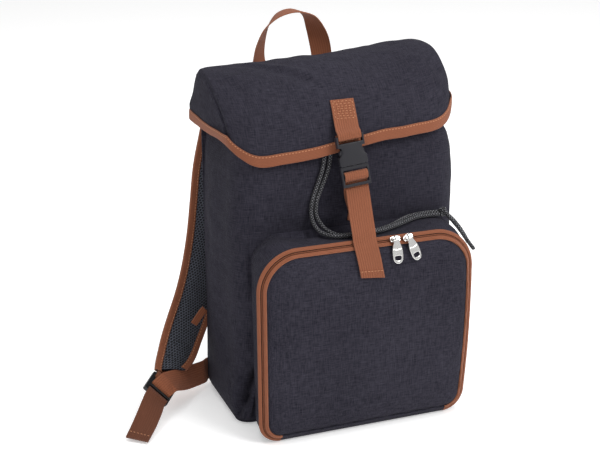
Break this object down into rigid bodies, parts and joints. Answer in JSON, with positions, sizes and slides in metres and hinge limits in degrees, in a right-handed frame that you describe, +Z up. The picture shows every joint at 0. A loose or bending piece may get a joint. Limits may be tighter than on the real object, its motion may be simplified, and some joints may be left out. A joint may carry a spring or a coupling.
{
  "type": "picnic backpack",
  "caption": "Flap-topped cloth picnic backpack with a zipped front pocket, strap-and-buckle closure, drawstring collar, carry handle and padded shoulder straps.",
  "frame": {"origin": "on the floor under the middle of the main body", "axes": "+Z up, -Y towards the front pocket, +X to the right as seen from the front"},
  "size_m": [0.4216, 0.258, 0.4648],
  "materials": {
    "melange_cloth": "plain-woven charcoal melange cloth",
    "mesh_cloth": "dark spacer mesh",
    "tan_tape": "tan webbing and tape",
    "zip_coil": "nylon coil",
    "grey_plastic": "moulded, matte",
    "black_plastic": "moulded, matte",
    "nickel": "bright plated",
    "cord": "flecked braid"
  },
  "bodies": {
    "bag": {"body_wrap": "melange_cloth", "body_base": "melange_cloth", "body_back": "melange_cloth", "mouth_collar": "melange_cloth", "flap_top": "melange_cloth", "flap_side_left": "melange_cloth", "flap_side_right": "melange_cloth", "flap_binding": "tan_tape", "carry_handle": "tan_tape", "buckle_socket": "grey_plastic", "buckle_plug": "grey_plastic", "flap_strap": "tan_tape", "front_strap": "tan_tape", "pocket_gusset": "melange_cloth", "zip_tape_outer": "tan_tape", "zip_coil": "zip_coil", "zip_tape_inner": "tan_tape", "pocket_sill": "melange_cloth", "pocket_front": "melange_cloth", "zip_slider_left": "nickel", "zip_slider_right": "nickel", "strap_left_pad": "mesh_cloth", "strap_left_binding_outer": "tan_tape", "strap_left_binding_inner": "tan_tape", "strap_left_lock": "black_plastic", "strap_left_webbing": "tan_tape", "strap_left_loop": "tan_tape", "strap_right_pad": "mesh_cloth", "strap_right_binding_outer": "tan_tape", "strap_right_binding_inner": "tan_tape", "strap_right_lock": "black_plastic", "strap_right_webbing": "tan_tape", "strap_right_loop": "tan_tape", "side_tab": "tan_tape", "cord_right": "cord", "cord_left": "cord", "cord_tail_front": "cord", "cord_tail_rear": "cord", "cord_knot": "cord"},
    "pull_left": {"zip_pull_left": "nickel"},
    "pull_right": {"zip_pull_right": "nickel"}
  },
  "joints": [
    {"name": "pull_left_hinge", "type": "hinge", "parent": "bag", "child": "pull_left", "pos_m": [0.0345, -0.12244, 0.23424], "axis": [-1, 0, 0], "range_deg": [0, 150]},
    {"name": "pull_right_hinge", "type": "hinge", "parent": "bag", "child": "pull_right", "pos_m": [0.0505, -0.12244, 0.23424], "axis": [-0.9397, -0.219, -0.2627], "range_deg": [0, 150]}
  ]
}
